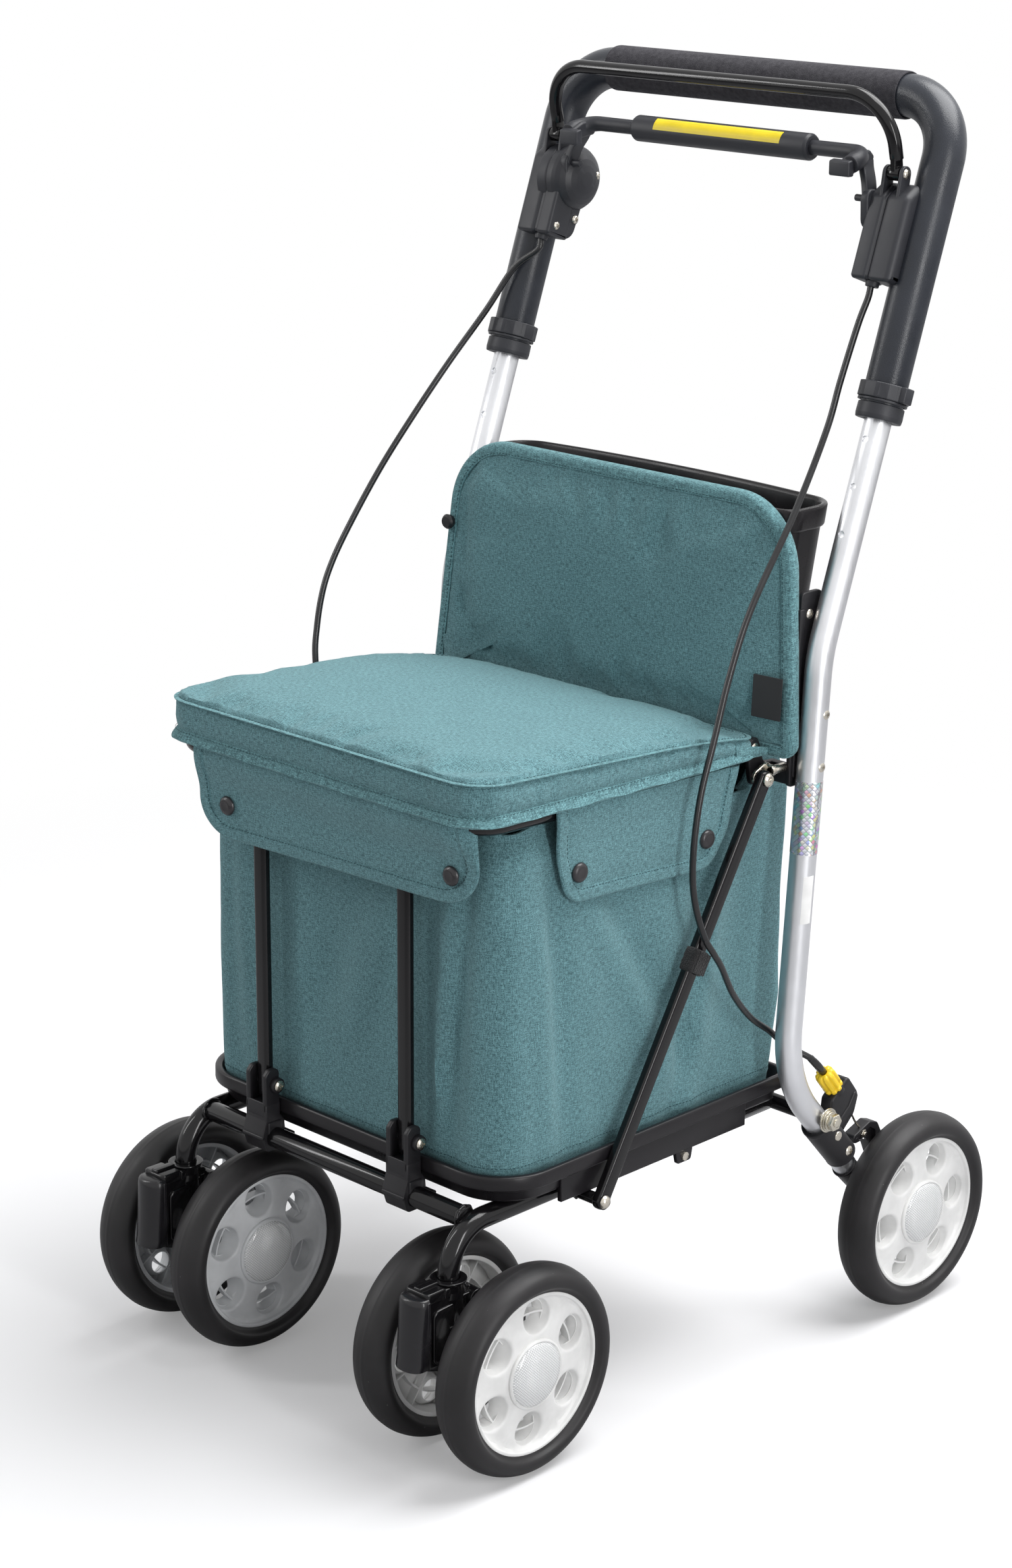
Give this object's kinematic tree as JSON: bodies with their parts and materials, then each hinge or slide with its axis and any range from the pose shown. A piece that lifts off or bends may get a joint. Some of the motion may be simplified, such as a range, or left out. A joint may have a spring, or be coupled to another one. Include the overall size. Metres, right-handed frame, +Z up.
{
  "type": "shopping rollator",
  "caption": "Folding walking frame on wheels with a padded seat lid over a shopping bag, backrest, rear bin, swivelling front casters and a height adjustable braked push handle.",
  "frame": {"origin": "on the floor under the middle of the object's bounding box", "axes": "+Z up, +Y towards the user who pushes it, -Y forward, +X to the side that the picture shows"},
  "size_m": [0.4632, 0.581, 0.9678],
  "materials": {
    "black_metal": "glossy black enamel",
    "black_plastic": "fine grained black plastic",
    "black_foam": "matt black foam",
    "silver_aluminium": "satin anodised",
    "zinc_steel": "zinc plated",
    "tyre": "matt black",
    "white_plastic": "white moulded",
    "grey_plastic": "light grey moulded",
    "clear_lens": "clear faceted",
    "teal_fabric": "dark teal woven",
    "teal_seat_fabric": "teal woven",
    "yellow_plastic": "yellow moulded",
    "black_cable": "black sheath"
  },
  "bodies": {
    "rear_frame": {"rear_tube_right": "silver_aluminium", "rear_tube_left": "silver_aluminium", "axle_carrier_right": "black_plastic", "axle_carrier_left": "black_plastic", "axle_tube_right": "silver_aluminium", "axle_tube_left": "silver_aluminium", "backrest": "teal_fabric", "backrest_plate_right": "black_plastic", "backrest_plate_left": "black_plastic", "bin": "black_plastic", "strut_hanger_right": "zinc_steel", "strut_hanger_left": "zinc_steel", "brake_cable_right": "black_cable", "brake_cable_left": "black_cable"},
    "base": {"base_frame": "black_metal", "tray": "black_plastic", "upright_bracket_right": "black_plastic", "upright_bracket_left": "black_plastic", "bag": "teal_fabric"},
    "seat_ring": {"seat_frame": "black_metal"},
    "seat_lid": {"seat": "teal_seat_fabric"},
    "handle": {"handle_tube": "black_metal", "grip": "black_foam", "brake_housing_right": "black_plastic", "brake_housing_left": "black_plastic"},
    "lever": {"brake_lever": "black_metal"},
    "park_bar": {"parking_bar": "black_plastic"},
    "strut_right": {"strut_right": "black_metal", "cable_strap": "black_foam"},
    "strut_left": {"strut_left": "black_metal"},
    "upright_right": {"upright_right": "black_metal"},
    "brake_arm_right": {"brake_arm_right": "black_metal"},
    "cable_adjuster_right": {"cable_adjuster_right": "yellow_plastic"},
    "lock_ring_right": {"lock_ring_right": "black_plastic"},
    "caster_right": {"caster_body_right": "black_plastic", "caster_cover_right": "black_plastic"},
    "upright_left": {"upright_left": "black_metal"},
    "brake_arm_left": {"brake_arm_left": "black_metal"},
    "cable_adjuster_left": {"cable_adjuster_left": "yellow_plastic"},
    "lock_ring_left": {"lock_ring_left": "black_plastic"},
    "caster_left": {"caster_body_left": "black_plastic", "caster_cover_left": "black_plastic"},
    "wheel_front_right_outer": {"tyre_front_right_outer": "tyre", "hub_front_right_outer": "white_plastic", "reflector_front_right_outer": "clear_lens"},
    "wheel_front_right_inner": {"tyre_front_right_inner": "tyre", "hub_front_right_inner": "white_plastic", "reflector_front_right_inner": "clear_lens"},
    "wheel_front_left_outer": {"tyre_front_left_outer": "tyre", "hub_front_left_outer": "grey_plastic", "reflector_front_left_outer": "clear_lens"},
    "wheel_front_left_inner": {"tyre_front_left_inner": "tyre", "hub_front_left_inner": "grey_plastic", "reflector_front_left_inner": "clear_lens"},
    "wheel_rear_right": {"tyre_rear_right": "tyre", "hub_rear_right": "white_plastic", "reflector_rear_right": "clear_lens"},
    "wheel_rear_left": {"tyre_rear_left": "tyre", "hub_rear_left": "white_plastic", "reflector_rear_left": "clear_lens"}
  },
  "joints": [
    {"name": "base_fold", "type": "hinge", "parent": "rear_frame", "child": "base", "pos_m": [0, 0.10725, 0.184], "axis": [-1, 0, 0], "range_deg": [0, 58], "deforming": ["bag"]},
    {"name": "seat_frame_fold", "type": "hinge", "parent": "rear_frame", "child": "seat_ring", "pos_m": [0, 0.05575, 0.486], "axis": [-1, 0, 0], "range_deg": [0, 65.5]},
    {"name": "seat_lid", "type": "hinge", "parent": "seat_ring", "child": "seat_lid", "pos_m": [0, 0.05575, 0.486], "axis": [1, 0, 0], "range_deg": [-65, 0]},
    {"name": "handle_slide", "type": "slide", "parent": "rear_frame", "child": "handle", "axis": [0, 0.3295, 0.9441], "range_m": [-0.108, 0.036], "deforming": ["brake_cable_right", "brake_cable_left"]},
    {"name": "lever_squeeze", "type": "hinge", "parent": "handle", "child": "lever", "pos_m": [0, 0.18721, 0.89852], "axis": [-1, 0, 0], "range_deg": [0, 15], "stiffness_Nm_per_rad": 1},
    {"name": "parking_push", "type": "hinge", "parent": "handle", "child": "park_bar", "pos_m": [0, 0.18025, 0.8786], "axis": [-1, 0, 0], "range_deg": [0, 25]},
    {"name": "upright_fold_right", "type": "hinge", "parent": "base", "child": "upright_right", "pos_m": [0.077, -0.21975, 0.229], "axis": [-1, 0, 0], "range_deg": [-67.5, 0]},
    {"name": "strut_fold_right", "type": "hinge", "parent": "rear_frame", "child": "strut_right", "pos_m": [0.1762, 0.05175, 0.4655], "axis": [1, 0, 0], "range_deg": [0, 27]},
    {"name": "brake_arm_turn_right", "type": "hinge", "parent": "rear_frame", "child": "brake_arm_right", "pos_m": [0.185, 0.19875, 0.118], "axis": [1, 0, 0], "range_deg": [0, 6.1]},
    {"name": "adjuster_turn_right", "type": "hinge", "parent": "rear_frame", "child": "cable_adjuster_right", "pos_m": [0.1923, 0.12875, 0.201], "axis": [0, -0.6309, 0.7759], "range_deg": [0, 90]},
    {"name": "lock_ring_turn_right", "type": "hinge", "parent": "handle", "child": "lock_ring_right", "pos_m": [0.1921, 0.15718, 0.74191], "axis": [0, 0.3295, 0.9441], "range_deg": [0, 30]},
    {"name": "caster_swivel_right", "type": "hinge", "parent": "base", "child": "caster_right", "pos_m": [0.1453, -0.24325, 0.1], "axis": [0, 0, 1], "continuous": true},
    {"name": "upright_fold_left", "type": "hinge", "parent": "base", "child": "upright_left", "pos_m": [-0.077, -0.21975, 0.229], "axis": [-1, 0, 0], "range_deg": [-67.5, 0]},
    {"name": "strut_fold_left", "type": "hinge", "parent": "rear_frame", "child": "strut_left", "pos_m": [-0.1762, 0.05175, 0.4655], "axis": [1, 0, 0], "range_deg": [0, 27]},
    {"name": "brake_arm_turn_left", "type": "hinge", "parent": "rear_frame", "child": "brake_arm_left", "pos_m": [-0.185, 0.19875, 0.118], "axis": [1, 0, 0], "range_deg": [0, 6.1]},
    {"name": "adjuster_turn_left", "type": "hinge", "parent": "rear_frame", "child": "cable_adjuster_left", "pos_m": [-0.1923, 0.12875, 0.201], "axis": [0, -0.6309, 0.7759], "range_deg": [0, 90]},
    {"name": "lock_ring_turn_left", "type": "hinge", "parent": "handle", "child": "lock_ring_left", "pos_m": [-0.1921, 0.15718, 0.74191], "axis": [0, 0.3295, 0.9441], "range_deg": [0, 30]},
    {"name": "caster_swivel_left", "type": "hinge", "parent": "base", "child": "caster_left", "pos_m": [-0.1453, -0.24325, 0.1], "axis": [0, 0, 1], "continuous": true},
    {"name": "spin_front_right_outer", "type": "hinge", "parent": "caster_right", "child": "wheel_front_right_outer", "pos_m": [0.1881, -0.20925, 0.08], "axis": [1, 0, 0], "continuous": true},
    {"name": "spin_front_right_inner", "type": "hinge", "parent": "caster_right", "child": "wheel_front_right_inner", "pos_m": [0.1025, -0.20925, 0.08], "axis": [1, 0, 0], "continuous": true},
    {"name": "spin_front_left_outer", "type": "hinge", "parent": "caster_left", "child": "wheel_front_left_outer", "pos_m": [-0.1881, -0.20925, 0.08], "axis": [1, 0, 0], "continuous": true},
    {"name": "spin_front_left_inner", "type": "hinge", "parent": "caster_left", "child": "wheel_front_left_inner", "pos_m": [-0.1025, -0.20925, 0.08], "axis": [1, 0, 0], "continuous": true},
    {"name": "spin_rear_right", "type": "hinge", "parent": "rear_frame", "child": "wheel_rear_right", "pos_m": [0.2116, 0.20925, 0.08], "axis": [1, 0, 0], "continuous": true},
    {"name": "spin_rear_left", "type": "hinge", "parent": "rear_frame", "child": "wheel_rear_left", "pos_m": [-0.2116, 0.20925, 0.08], "axis": [1, 0, 0], "continuous": true}
  ],
  "couplings": [
    {"joint": "seat_frame_fold", "follows": "base_fold", "ratio": 1.125},
    {"joint": "upright_fold_right", "follows": "base_fold", "ratio": -1.157},
    {"joint": "strut_fold_right", "follows": "base_fold", "ratio": 0.46},
    {"joint": "brake_arm_turn_right", "follows": "lever_squeeze", "ratio": 0.4},
    {"joint": "upright_fold_left", "follows": "base_fold", "ratio": -1.157},
    {"joint": "strut_fold_left", "follows": "base_fold", "ratio": 0.46},
    {"joint": "brake_arm_turn_left", "follows": "lever_squeeze", "ratio": 0.4}
  ]
}
